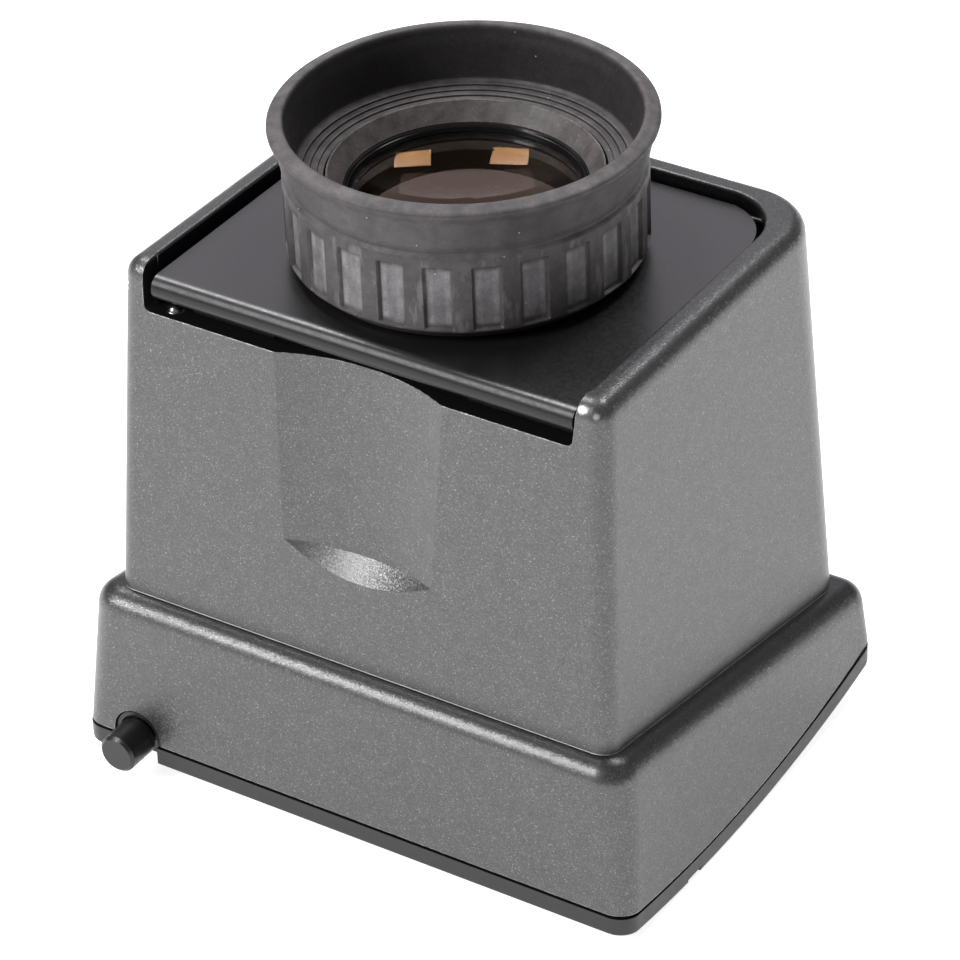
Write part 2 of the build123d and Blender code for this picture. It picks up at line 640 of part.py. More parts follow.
# ---------------------------------------------------------------------------
# lens board and eyepiece
# ---------------------------------------------------------------------------
with BuildPart() as lens_board:
    with BuildSketch(YZ):
        with BuildLine():
            l1 = Line((board_front + nose_r, board_z), (board_rear - 0.25, board_z))
            l2 = Polyline(l1 @ 1, (board_rear, board_z - 0.25), (board_rear, board_z - 2.4),
                          (board_rear - 1.2, board_z - board_t))
            l3 = Line(l2 @ 1, (board_front + nose_r, board_z - board_t))
            l4 = ThreePointArc(l3 @ 1, (board_front, board_z - nose_r), l1 @ 0)
        make_face()
    extrude(amount=50, both=True)
    with BuildSketch(Plane.XY.offset(board_z - 8)):
        Polygon((-board_half_front, board_front - 1), (board_half_front, board_front - 1),
                (board_half_rear, board_rear), (-board_half_rear, board_rear), align=None)
        fillet(vertices().sort_by(Axis.Y)[-2:], 9.3)
    extrude(amount=16, mode=Mode.INTERSECT)
    with BuildSketch(Plane.XY.offset(board_z - 8)):
        with Locations((0, eye_y)):
            Circle(board_hole_r)
    extrude(amount=16, mode=Mode.SUBTRACT)
    with BuildSketch(Plane.XY.offset(board_z - board_t)):
        with Locations((0, eye_y)):
            with PolarLocations(23.85, 4, start_angle=45):
                Circle(0.55)
    extrude(amount=2.6, mode=Mode.SUBTRACT)
    for x0, d in ((-50, 25.2), (24.8, 25.2)):
        with BuildSketch(YZ.offset(x0)):
            with Locations((board_pin_y, board_pin_z)):
                Circle(board_pin_r + 0.05)
        extrude(amount=d, mode=Mode.SUBTRACT)
finish(lens_board.part, "lens_board")


AXIAL = Plane(origin=(0, eye_y, board_z), x_dir=(1, 0, 0), z_dir=(0, -1, 0))   # local x radius, local y height

with BuildPart() as focus_mount:
    with BuildSketch(AXIAL):
        with BuildLine():
            Polyline((20.4, -12.0), (22.4, -12.0), (22.4, -5.3), (24.9, -5.3), (24.9, -3.9), (22.4, -3.9),
                     (22.4, 11.1), (21.7, 11.1), (21.7, 11.7), (22.4, 11.7), (22.4, 12.0), (20.4, 12.0), close=True)
        make_face()
    revolve(axis=eye_axis)
    # straight slots for the followers
    for a in (90, 210, 330):
        with BuildSketch(Plane(origin=(0, eye_y, board_z + follower_h),
                               x_dir=(-math.sin(math.radians(a)), math.cos(math.radians(a)), 0),
                               z_dir=(math.cos(math.radians(a)), math.sin(math.radians(a)), 0)).offset(19)):
            SlotOverall(2 * (focus_travel + 0.85), 1.72, rotation=90)
        extrude(amount=5, mode=Mode.SUBTRACT)
    with BuildSketch(Plane.XY.offset(board_z - 6)):
        with Locations((0, eye_y)):
            with PolarLocations(23.85, 4, start_angle=45):
                Circle(0.62)
    extrude(amount=3, mode=Mode.SUBTRACT)
finish(focus_mount.part, "focus_mount")

with BuildPart() as mount_screws:
    with BuildSketch(Plane.XY.offset(board_z - 5.35 - 0.7)):
        with Locations((0, eye_y)):
            with PolarLocations(23.85, 4, start_angle=45):
                Circle(1.0)
    extrude(amount=0.7)
    with BuildSketch(Plane.XY.offset(board_z - 5.35)):
        with Locations((0, eye_y)):
            with PolarLocations(23.85, 4, start_angle=45):
                Circle(0.53)
    extrude(amount=4.0)
    with BuildSketch(Plane.XY.offset(board_z - 5.35 - 0.7)):
        with Locations((0, eye_y)):
            with PolarLocations(23.85, 4, start_angle=45):
                Rectangle(1.5, 0.3)
    extrude(amount=0.35, mode=Mode.SUBTRACT)
finish(mount_screws.part, "mount_screws")

with BuildPart() as ring_keeper:
    with BuildSketch(Plane.XY.offset(board_z + 11.15)):
        with Locations((0, eye_y)):
            Circle(23.3)
            Circle(21.75, mode=Mode.SUBTRACT)
            with Locations((0, 22.5)):
                Rectangle(3.0, 4.0, mode=Mode.SUBTRACT)
    extrude(amount=0.5)
finish(ring_keeper.part, "ring_keeper")

with BuildPart() as focus_ring:
    with BuildSketch(AXIAL):
        with BuildLine():
            Polyline((22.45, 0.5), (23.6, 0.5), (23.6, 11.0), (22.45, 11.0), close=True)
        make_face()
    revolve(axis=eye_axis)
    # three left-hand cam grooves for the followers
    groove_turn = 2 * focus_angle + 6.0
    groove_h = 2 * focus_travel * groove_turn / (2 * focus_angle)
    for a in (90, 210, 330):
        with BuildLine(Plane.XY.offset(board_z + follower_h - groove_h / 2).move(Location((0, eye_y, 0)))) as path:
            Helix(pitch=groove_h * 360 / groove_turn, height=groove_h, radius=22.7, lefthand=True)
        rot = Axis((0, eye_y, 0), (0, 0, 1))
        wire = path.line.rotate(rot, a + groove_turn / 2)
        with BuildSketch(Plane(origin=wire @ 0, x_dir=(wire @ 0 - Vector(0, eye_y, (wire @ 0).Z)).normalized(),
                               z_dir=wire % 0)):
            Rectangle(1.0, 1.7)
        sweep(path=wire, is_frenet=True, mode=Mode.SUBTRACT)
finish(focus_ring.part, "focus_ring")

with BuildPart() as rubber_eyecup:
    with BuildSketch(AXIAL):
        with BuildLine():
            Polyline((23.65, 12.15), (23.65, 2.1), (24.7, 1.9), (band_r, 2.3), (band_r, 13.6), (24.7, 14.0))
            Spline((24.7, 14.0), (25.35, 15.5), (25.75, 17.4), (26.3, 19.4), (26.85, 20.5), (cup_r, 21.0))
            Spline((cup_r, 21.0), (26.75, 21.4), (26.0, 21.75), (25.2, 22.0), (24.75, 21.85), (24.5, 21.3), (24.35, 20.6))
            Spline((24.35, 20.6), (24.0, 19.0), (23.75, 16.5), (23.65, 14.4))
            Polyline((23.65, 14.4), (23.3, 13.6), (22.5, 13.5), (22.5, 13.25), (21.4, 13.25), (21.4, 13.0), (20.4, 13.0),
                     (20.4, 12.75), (19.55, 12.75), (19.55, 12.2), (23.65, 12.15))
        make_face()
    revolve(axis=eye_axis)
    # pockets of the grip band
    with BuildSketch(Plane.XY.offset(board_z + 2.5)) as pocket_sk:
        with Locations((0, eye_y)):
            with PolarLocations(0, pockets, start_angle=8.9):
                Polygon((20, -20 * math.tan(math.radians(4.5))), (28, -28 * math.tan(math.radians(4.5))),
                        (28, 28 * math.tan(math.radians(4.5))), (20, 20 * math.tan(math.radians(4.5))), align=None)
            Circle(27, mode=Mode.INTERSECT)
            Circle(24.5, mode=Mode.SUBTRACT)
    extrude(pocket_sk.sketch, amount=9.55, mode=Mode.SUBTRACT)
finish(rubber_eyecup.part, "rubber_eyecup")

with BuildPart() as lens_cell:
    with BuildSketch(AXIAL):
        with BuildLine():
            Polyline((17.1, -10.0), (20.33, -10.0), (20.33, 8.9), (19.25, 9.4), (19.25, 12.9), (19.05, 12.9),
                     (17.1, 10.5), (17.1, 5.75), (15.8, 5.75), (15.8, 4.9), (17.1, 4.9), close=True)
        make_face()
    revolve(axis=eye_axis)
    for a in (90, 210, 330):
        with BuildSketch(Plane(origin=(0, eye_y, board_z + follower_h),
                               x_dir=(-math.sin(math.radians(a)), math.cos(math.radians(a)), 0),
                               z_dir=(math.cos(math.radians(a)), math.sin(math.radians(a)), 0)).offset(18.2)):
            Circle(0.8)
        extrude(amount=5, mode=Mode.SUBTRACT)
finish(lens_cell.part, "lens_cell")

with BuildPart() as cam_followers:
    for a in (90, 210, 330):
        with BuildSketch(Plane(origin=(0, eye_y, board_z + follower_h),
                               x_dir=(-math.sin(math.radians(a)), math.cos(math.radians(a)), 0),
                               z_dir=(math.cos(math.radians(a)), math.sin(math.radians(a)), 0)).offset(18.3)):
            Circle(0.8)
        extrude(amount=4.75)
finish(cam_followers.part, "cam_followers")

with BuildPart() as lens_retainer:
    with BuildSketch(AXIAL):
        with BuildLine():
            Polyline((17.05, 9.2), (17.05, 10.35), (16.75, 10.35), (16.6, 10.05), (16.4, 10.05), (16.2, 9.5),
                     (16.2, 9.2), close=True)
        make_face()
    revolve(axis=eye_axis)
finish(lens_retainer.part, "lens_retainer")

with BuildPart() as eye_lens:
    with BuildSketch(Plane.XY.offset(board_z + 4)):
        with Locations((0, eye_y)):
            Circle(16.95)
    extrude(amount=8)
    for apex, sag, side in ((11.3, 2.4, 1), (4.6, 1.4, -1)):
        big = (16.95 ** 2 + sag ** 2) / (2 * sag)
        with Locations((0, eye_y, board_z + apex - side * big)):
            Sphere(big, mode=Mode.INTERSECT)
finish(eye_lens.part, "eye_lens")

with BuildPart() as lens_spacer:
    with BuildSketch(Plane.XY.offset(board_z - 2.0)):
        with Locations((0, eye_y)):
            Circle(17.0)
            Circle(15.6, mode=Mode.SUBTRACT)
    extrude(amount=6.85)
finish(lens_spacer.part, "lens_spacer")

with BuildPart() as field_lens:
    with BuildSketch(Plane.XY.offset(board_z - 8)):
        with Locations((0, eye_y)):
            Circle(16.95)
    extrude(amount=5.95)
    sag = 2.0
    big = (16.95 ** 2 + sag ** 2) / (2 * sag)
    with Locations((0, eye_y, board_z - 7.5 + big)):
        Sphere(big, mode=Mode.INTERSECT)
finish(field_lens.part, "field_lens")

with BuildPart() as rear_retainer:
    with BuildSketch(Plane.XY.offset(board_z - 7.6)):
        with Locations((0, eye_y)):
            Circle(17.05)
            Circle(16.3, mode=Mode.SUBTRACT)
    extrude(amount=1.8)
finish(rear_retainer.part, "rear_retainer")
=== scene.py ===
import bpy, bmesh, math
from mathutils import Vector, Matrix


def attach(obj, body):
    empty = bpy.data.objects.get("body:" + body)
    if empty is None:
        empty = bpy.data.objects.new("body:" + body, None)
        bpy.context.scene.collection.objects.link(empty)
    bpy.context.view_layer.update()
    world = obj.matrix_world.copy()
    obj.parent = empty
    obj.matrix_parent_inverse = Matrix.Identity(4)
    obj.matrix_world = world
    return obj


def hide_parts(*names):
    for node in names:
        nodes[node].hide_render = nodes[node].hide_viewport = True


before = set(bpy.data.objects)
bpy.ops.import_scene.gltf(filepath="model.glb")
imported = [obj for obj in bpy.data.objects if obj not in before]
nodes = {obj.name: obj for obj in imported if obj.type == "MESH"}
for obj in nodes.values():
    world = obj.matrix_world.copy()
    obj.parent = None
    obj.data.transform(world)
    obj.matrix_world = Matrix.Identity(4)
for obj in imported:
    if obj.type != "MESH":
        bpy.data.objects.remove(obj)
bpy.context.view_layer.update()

MM = 0.001
EY = 0.9                    # optical axis, y in mm
EYE = Vector((0.0, EY, 0.0)) * MM
BZ = 80.8                   # lens board's top, z in mm
BOARD = BZ * MM

scene = bpy.context.scene
scene.view_settings.view_transform = "Standard"
scene.view_settings.look = "None"
scene.view_settings.exposure = 0.0
scene.view_settings.gamma = 1.0

# --------------------------------------------------------------------------
# camera
# --------------------------------------------------------------------------
cam_data = bpy.data.cameras.new("cam")
cam_data.sensor_width = 36.0
cam_data.lens = 168.45
cam_data.clip_start = 0.01
cam_data.clip_end = 50.0
cam = bpy.data.objects.new("cam", cam_data)
scene.collection.objects.link(cam)
az, el, roll = math.radians(33.785), math.radians(34.126), math.radians(-2.381)
back = Vector((math.sin(az) * math.cos(el), -math.cos(az) * math.cos(el), math.sin(el)))
right = Vector((math.cos(az), math.sin(az), 0.0))
up = back.cross(right)
r2 = right * math.cos(roll) + up * math.sin(roll)
u2 = -right * math.sin(roll) + up * math.cos(roll)
m = Matrix.Identity(4)
for i in range(3):
    m[i][0], m[i][1], m[i][2] = r2[i], u2[i], back[i]
m.translation = Vector((297.01, -442.68, 403.75)) * MM
cam.matrix_world = m
scene.camera = cam


# --------------------------------------------------------------------------
# node helpers
# --------------------------------------------------------------------------
class Mat:
    """A small helper for writing node materials."""

    def __init__(self, name):
        self.m = bpy.data.materials.new(name)
        self.m.use_nodes = True
        self.t = self.m.node_tree
        self.t.nodes.clear()
        self.out = self.t.nodes.new("ShaderNodeOutputMaterial")
        self.p = self.t.nodes.new("ShaderNodeBsdfPrincipled")
        self.t.links.new(self.p.outputs[0], self.out.inputs[0])
        self.tc = self.t.nodes.new("ShaderNodeTexCoord")
        self.obj = self.tc.outputs["Object"]
        self.nrm = self.tc.outputs["Normal"]

    def link(self, a, b):
        if isinstance(a, (int, float)):
            b.default_value = a
        elif isinstance(a, (tuple, list)):
            v = list(a)
            if len(v) == 3 and len(b.default_value) == 4:
                v.append(1.0)
            b.default_value = v
        else:
            self.t.links.new(a, b)

    def set(self, name, value):
        self.link(value, self.p.inputs[name])

    def scaled(self, s, vec=None):
        n = self.t.nodes.new("ShaderNodeMapping")
        self.link(vec if vec is not None else self.obj, n.inputs["Vector"])
        n.inputs["Scale"].default_value = s if isinstance(s, (tuple, list)) else (s, s, s)
        return n.outputs[0]

    def noise(self, scale, detail=3.0, rough=0.55, vec=None, dist=0.0, color=False):
        n = self.t.nodes.new("ShaderNodeTexNoise")
        self.link(vec if vec is not None else self.obj, n.inputs["Vector"])
        n.inputs["Scale"].default_value = scale
        n.inputs["Detail"].default_value = detail
        n.inputs["Roughness"].default_value = rough
        n.inputs["Distortion"].default_value = dist
        return n.outputs["Color"] if color else n.outputs["Fac"]

    def voronoi(self, scale, feature="F1", vec=None, out="Color", rnd=1.0):
        n = self.t.nodes.new("ShaderNodeTexVoronoi")
        n.feature = feature
        self.link(vec if vec is not None else self.obj, n.inputs["Vector"])
        n.inputs["Scale"].default_value = scale
        n.inputs["Randomness"].default_value = rnd
        return n.outputs[out]

    def math(self, op, a, b=0.0, c=0.0, clamp=False):
        n = self.t.nodes.new("ShaderNodeMath")
        n.operation = op
        n.use_clamp = clamp
        self.link(a, n.inputs[0])
        self.link(b, n.inputs[1])
        self.link(c, n.inputs[2])
        return n.outputs[0]

    def vmath(self, op, a, b=(0.0, 0.0, 0.0), out=0, scale=None):
        n = self.t.nodes.new("ShaderNodeVectorMath")
        n.operation = op
        self.link(a, n.inputs[0])
        self.link(b, n.inputs[1])
        if scale is not None:
            self.link(scale, n.inputs["Scale"])
        return n.outputs[out]

    def ramp(self, fac, stops, interp="LINEAR"):
        n = self.t.nodes.new("ShaderNodeValToRGB")
        n.color_ramp.interpolation = interp
        e = n.color_ramp.elements
        while len(e) < len(stops):
            e.new(0.5)
        for el_, (pos, col) in zip(e, stops):
            el_.position = pos
            c = col if isinstance(col, (tuple, list)) else (col, col, col)
            el_.color = (c[0], c[1], c[2], 1.0)
        self.link(fac, n.inputs[0])
        return n.outputs[0]

    def mrange(self, v, a, b, c=0.0, d=1.0, kind="SMOOTHSTEP"):
        n = self.t.nodes.new("ShaderNodeMapRange")
        n.interpolation_type = kind
        self.link(v, n.inputs["Value"])
        n.inputs["From Min"].default_value = a
        n.inputs["From Max"].default_value = b
        n.inputs["To Min"].default_value = c
        n.inputs["To Max"].default_value = d
        return n.outputs[0]

    def mix(self, fac, a, b, blend="MIX"):
        n = self.t.nodes.new("ShaderNodeMix")
        n.data_type = "RGBA"
        n.blend_type = blend
        n.clamp_factor = True
        self.link(fac, n.inputs[0])
        self.link(a, n.inputs[6])
        self.link(b, n.inputs[7])
        return n.outputs[2]

    def sep(self, v):
        n = self.t.nodes.new("ShaderNodeSeparateXYZ")
        self.link(v, n.inputs[0])
        return n.outputs

    def bump(self, height, dist, strength=1.0, normal=None):
        n = self.t.nodes.new("ShaderNodeBump")
        n.inputs["Distance"].default_value = dist
        n.inputs["Strength"].default_value = strength
        self.link(height, n.inputs["Height"])
        if normal is not None:
            self.link(normal, n.inputs["Normal"])
        return n.outputs[0]

    def blob(self, centre, radius, soft=0.5):
        """1 within radius of a point, 0 outside."""
        d = self.vmath("DISTANCE", self.obj, tuple(c * MM for c in centre), out=1)
        return self.mrange(d, radius * MM * (1 - soft), radius * MM, 1.0, 0.0)


def put(node, mat):
    o = nodes[node]
    if not o.data.materials:
        o.data.materials.append(mat)
    for i in range(len(o.material_slots)):
        o.material_slots[i].link = "OBJECT"
        o.material_slots[i].material = mat


# --------------------------------------------------------------------------
# metal-flake paint
# --------------------------------------------------------------------------
def flake_paint(name, part):
    a = Mat(name)
    xyz = a.sep(a.obj)
    x, y, z = (a.math("MULTIPLY", v, 1000.0) for v in (xyz[0], xyz[1], xyz[2]))
    nx, ny, nz = a.sep(a.nrm)
    fine = a.voronoi(6600.0)                      # one flake about 0.15 mm
    fv = a.sep(fine)
    tone = a.ramp(fv[0], [(0.0, 0.082), (0.5, 0.104), (0.88, 0.125), (0.97, 0.158), (1.0, 0.26)])
    cloud = a.noise(420.0, 5.0, 0.65)
    tone = a.mix(1.0, tone, a.ramp(cloud, [(0.3, 0.92), (0.7, 1.06)]), "MULTIPLY")
    tone = a.mix(1.0, tone, (0.985, 0.985, 1.0), "MULTIPLY")
    rough = a.mrange(fv[1], 0.0, 1.0, 0.31, 0.41, "LINEAR")
    metal = a.math("ADD", 0.70, 0.0)
    # edges painted lighter: a painted highlight along the edges, partly worn paint
    bev = a.t.nodes.new("ShaderNodeBevel")
    bev.samples = 4
    bev.inputs["Radius"].default_value = 0.00022
    geo = a.t.nodes.new("ShaderNodeNewGeometry")
    turn = a.vmath("DOT_PRODUCT", bev.outputs[0], geo.outputs["Normal"], out=1)
    edge = a.mrange(turn, 0.985, 0.80, 0.0, 1.0)
    edge_highlight_and_wear = a.math("MULTIPLY", edge, a.mrange(a.noise(900.0, 4.0, 0.6), 0.40, 0.60, 0.30, 1.0))
    # the seam runs on a plane that falls towards the rear
    plane = a.math("SUBTRACT", z, a.math("ADD", BZ - 51.75, a.math("MULTIPLY", -0.155, a.math("SUBTRACT", y, EY - 32.6))))
    if part == "hood":
        # painted shade along the seam: the hood is darkened just above it, more on right-facing faces, and a painted
        # highlight line runs right at the seam
        painted_side_shade = a.mrange(nx, 0.2, 0.8, 0.72, 0.48)
        shade = a.mrange(plane, 0.0, 2.4, 0.0, 1.0)
        painted_seam_shade = a.math("ADD", a.math("MULTIPLY", shade, a.math("SUBTRACT", 1.0, painted_side_shade)), painted_side_shade)
        painted_seam_highlight = a.mrange(plane, 0.10, 0.19, 1.0, 0.0)
        edge_highlight_and_wear = a.math("MAXIMUM", a.math("MULTIPLY", edge_highlight_and_wear, a.mrange(z, 60.0, 70.0, 0.0, 0.8)), painted_seam_highlight)
        chips = a.blob((-38.6, EY - 28.4, BZ - 1.2), 1.6, 0.2)
        chips = a.math("MAXIMUM", chips, a.blob((-38.3, EY - 28.6, BZ - 3.6), 1.2, 0.2))
        # painted glints: two light spots on the top of the right cheek
        painted_cheek_glints = a.math("MAXIMUM", a.blob((35.3, EY - 28.0, BZ + 0.6), 0.9, 0.5), a.blob((37.6, EY - 28.0, BZ + 0.2), 0.8, 0.5))
        scratch = a.mrange(a.noise(1300.0, 2.0, 0.4, vec=a.scaled((1.0, 1.0, 0.28))), 0.62, 0.68, 0.0, 1.0)
        edge_highlight_and_wear = a.math("MAXIMUM", edge_highlight_and_wear, a.math("MULTIPLY", chips, scratch))
        edge_highlight_and_wear = a.math("MAXIMUM", edge_highlight_and_wear, a.math("MULTIPLY", painted_cheek_glints, 0.85))
    else:
        # painted shade on the base shoulder just below the seam
        painted_seam_shade = a.mrange(plane, -1.5, -0.1, 1.0, 0.52)
    tone = a.mix(1.0, tone, a.ramp(painted_seam_shade, [(0.0, 0.0), (1.0, 1.0)]), "MULTIPLY")
    # painted highlight and worn paint: edges, the seam line, chips and cheek glints go towards a light grey
    tone = a.mix(edge_highlight_and_wear, tone, (0.72, 0.72, 0.73))
    coat = 0.10
    if part == "hood":
        # the inside is matt black
        ax = a.math("ABSOLUTE", x)
        in_x = a.mrange(a.math("SUBTRACT", ax, a.math("MULTIPLY", 0.045, a.math("SUBTRACT", 81.0, z))), 36.9, 37.0, 1.0, 0.0, "LINEAR")
        in_r = a.mrange(y, EY + 31.1, EY + 31.2, 1.0, 0.0, "LINEAR")
        in_f = a.mrange(a.math("ADD", y, a.math("MULTIPLY", 0.085, a.math("SUBTRACT", BZ - 5.4, z))), EY - 28.5, EY - 28.42, 0.0, 1.0, "LINEAR")
        in_n = a.mrange(ny, -0.35, -0.25, 0.0, 1.0, "LINEAR")
        in_z = a.mrange(z, BZ + 1.05, BZ + 1.15, 1.0, 0.0, "LINEAR")
        outward = a.math("ADD", a.math("MULTIPLY", nx, x), a.math("MULTIPLY", ny, a.math("SUBTRACT", y, EY)))
        in_o = a.mrange(outward, 4.5, 5.5, 1.0, 0.0, "LINEAR")
        in_n = a.math("MULTIPLY", in_n, in_o)
        inside = a.math("MULTIPLY", a.math("MULTIPLY", in_x, in_r), a.math("MULTIPLY", in_f, a.math("MULTIPLY", in_n, in_z)))
        hair = a.math("MULTIPLY", inside, a.math("SUBTRACT", 1.0, a.math("MULTIPLY", a.mrange(nz, 0.5, 0.8, 0.0, 1.0), edge_highlight_and_wear)))
        tone = a.mix(hair, tone, (0.006, 0.006, 0.006))
        metal = a.math("MULTIPLY", 0.62, a.math("SUBTRACT", 1.0, hair))
        rough = a.mix(hair, rough, (0.7, 0.7, 0.7))
        spec = a.mrange(hair, 0.0, 1.0, 0.5, 0.12, "LINEAR")
        a.set("Specular IOR Level", spec)
        coat = a.math("MULTIPLY", 0.10, a.math("SUBTRACT", 1.0, hair))
    a.set("Base Color", tone)
    a.set("Metallic", metal)
    a.set("Roughness", rough)
    # every flake lies at its own small angle
    tilt = a.vmath("SCALE", a.vmath("SUBTRACT", fine, (0.5, 0.5, 0.5)), scale=0.15)
    bumped = a.bump(a.noise(1500.0, 2.0, 0.5), 0.000012, 0.5, normal=bev.outputs[0])
    a.set("Normal", a.vmath("NORMALIZE", a.vmath("ADD", bumped, tilt)))
    a.set("Coat Weight", coat)
    a.set("Coat Roughness", 0.25)
    return a


put("hood_shell", flake_paint("hood_paint_v", "hood").m)
put("base_shell", flake_paint("base_paint_v", "base").m)


def plain(name, col, metal=0.0, rough=0.5, grain=900.0, depth=0.00002, var=0.15, spec=0.5):
    a = Mat(name)
    nz = a.noise(grain, 4.0, 0.6)
    lo = tuple(c * (1 - var) for c in col)
    hi = tuple(min(1.0, c * (1 + var)) for c in col)
    a.set("Base Color", a.mix(nz, lo, hi))
    a.set("Metallic", metal)
    a.set("Roughness", a.mrange(a.noise(grain * 0.4, 3.0), 0.3, 0.7, rough * 0.88, min(1.0, rough * 1.12)))
    a.set("Specular IOR Level", spec)
    a.set("Normal", a.bump(nz, depth, 0.5))
    return a


board_black = plain("board_black_v", (0.010, 0.0097, 0.0100), 0.0, 0.34, 4200.0, 0.000008, spec=0.80)
board_black.set("IOR", 1.62)
board_black.set("Specular IOR Level", board_black.mrange(board_black.sep(board_black.nrm)[2], 0.6, 0.98, 0.24, 0.80))
put("lens_board", board_black.m)
foot = plain("foot_v", (0.022, 0.022, 0.022), 0.0, 0.7, 2500.0, 0.00003)
put("feet", foot.m)


# --------------------------------------------------------------------------
# rubber eyecup: one turned body with a moulded grip, soft pockets and steps
# --------------------------------------------------------------------------
def dusty_rubber(name):
    a = Mat(name)
    xyz = a.sep(a.vmath("SUBTRACT", a.obj, (0.0, EY * MM, BZ * MM)))
    x, y, z = (a.math("MULTIPLY", v, 1000.0) for v in (xyz[0], xyz[1], xyz[2]))
    r = a.math("SQRT", a.math("ADD", a.math("MULTIPLY", x, x), a.math("MULTIPLY", y, y)))
    nx, ny, nz = a.sep(a.nrm)
    cloud = a.noise(320.0, 5.0, 0.62)
    fine = a.noise(3600.0, 4.0, 0.65)
    dust_and_wall_shade = a.math("MULTIPLY", a.mrange(nz, 0.0, 0.95, 0.26, 0.78), a.mrange(cloud, 0.30, 0.72, 0.45, 1.0))
    # light smudges on the floors of the pockets and streaks down the band
    streak = a.noise(520.0, 4.0, 0.6, vec=a.scaled((1.0, 1.0, 0.25)))
    band = a.math("MULTIPLY", a.mrange(z, 14.0, 13.2, 0.0, 1.0), a.mrange(streak, 0.48, 0.70, 0.05, 0.62))
    dust_and_wall_shade = a.math("MAXIMUM", dust_and_wall_shade, a.math("MULTIPLY", band, a.mrange(r, 23.9, 24.3, 0.0, 1.0)))
    # painted shade: the inner wall inside the cup keeps a darker colour, its dust cut down
    wall = a.math("MULTIPLY", a.mrange(r, 24.75, 24.45, 0.0, 1.0), a.mrange(nz, 0.75, 0.35, 0.0, 1.0))
    dust_and_wall_shade = a.math("MULTIPLY", dust_and_wall_shade, a.math("SUBTRACT", 1.0, a.math("MULTIPLY", wall, 0.72)))
    col = a.mix(dust_and_wall_shade, (0.0200, 0.0184, 0.0190), (0.185, 0.168, 0.174))
    # pale smudged floors of the grip pockets
    pitch_ = 2 * math.pi / 24
    th = a.math("ARCTAN2", y, x)
    off = a.math("ABSOLUTE", a.math("SUBTRACT", a.math("FLOORED_MODULO", a.math("ADD", th, -math.radians(8.9) + pitch_ / 2), pitch_), pitch_ / 2))
    inpk = a.mrange(off, math.radians(3.2), math.radians(4.1), 1.0, 0.0)
    core = a.mrange(off, math.radians(1.2), math.radians(2.4), 0.0, 1.0)
    zed = a.math("MULTIPLY", a.mrange(z, 2.7, 3.6, 0.0, 1.0), a.mrange(z, 11.0, 11.9, 1.0, 0.0))
    zone = a.math("MULTIPLY", a.math("MULTIPLY", inpk, zed), a.mrange(r, 24.2, 24.25, 0.0, 1.0))
    smear = a.math("MULTIPLY", a.mrange(a.noise(420.0, 4.0, 0.6), 0.34, 0.66, 0.45, 1.0), a.math("ADD", 0.62, a.math("MULTIPLY", core, 0.38)))
    col = a.mix(a.math("MULTIPLY", zone, smear), col, (0.205, 0.195, 0.205))
    col = a.mix(1.0, col, a.ramp(fine, [(0.25, 0.74), (0.75, 1.22)]), "MULTIPLY")
    # pale specks
    sp = a.t.nodes.new("ShaderNodeTexVoronoi")
    sp.feature = "F1"
    a.link(a.obj, sp.inputs["Vector"])
    sp.inputs["Scale"].default_value = 620.0
    rare = a.sep(sp.outputs["Color"])
    dot = a.math("MULTIPLY", a.mrange(sp.outputs["Distance"], 0.045, 0.085, 1.0, 0.0), a.mrange(rare[0], 0.80, 0.82, 0.0, 1.0))
    tiny = a.mrange(a.voronoi(2300.0, out="Distance"), 0.10, 0.16, 0.45, 0.0)
    col = a.mix(a.math("MULTIPLY", tiny, a.mrange(cloud, 0.35, 0.65, 0.2, 0.9)), col, (0.24, 0.225, 0.21))
    col = a.mix(a.math("MULTIPLY", dot, 0.75), col, (0.55, 0.54, 0.52))
    a.set("Base Color", col)
    a.set("Roughness", a.mrange(a.noise(900.0, 3.0), 0.3, 0.7, 0.46, 0.62))
    a.set("Specular IOR Level", 0.42)
    a.set("Normal", a.bump(fine, 0.000014, 0.6))
    return a


rubber = dusty_rubber("rubber_v")


def smooth(t):
    t = max(0.0, min(1.0, t))
    return t * t * (3 - 2 * t)


def catmull(points, step):
    """Points along a smooth curve through the given (r, z) points."""
    out = []
    p = [points[0]] + list(points) + [points[-1]]
    for i in range(1, len(p) - 2):
        a, b, c, d = p[i - 1], p[i], p[i + 1], p[i + 2]
        n = max(2, int(math.hypot(c[0] - b[0], c[1] - b[1]) / step))
        for k in range(n):
            t = k / n
            out.append(tuple(0.5 * (2 * b[j] + (c[j] - a[j]) * t + (2 * a[j] - 5 * b[j] + 4 * c[j] - d[j]) * t * t
                                    + (3 * b[j] - a[j] - 3 * c[j] + d[j]) * t ** 3) for j in (0, 1)))
    out.append(points[-1])
    return out


def straight(points, step):
    out = []
    for b, c in zip(points, points[1:]):
        n = max(1, int(math.hypot(c[0] - b[0], c[1] - b[1]) / step))
        out += [(b[0] + (c[0] - b[0]) * k / n, b[1] + (c[1] - b[1]) * k / n) for k in range(n)]
    out.append(points[-1])
    return out


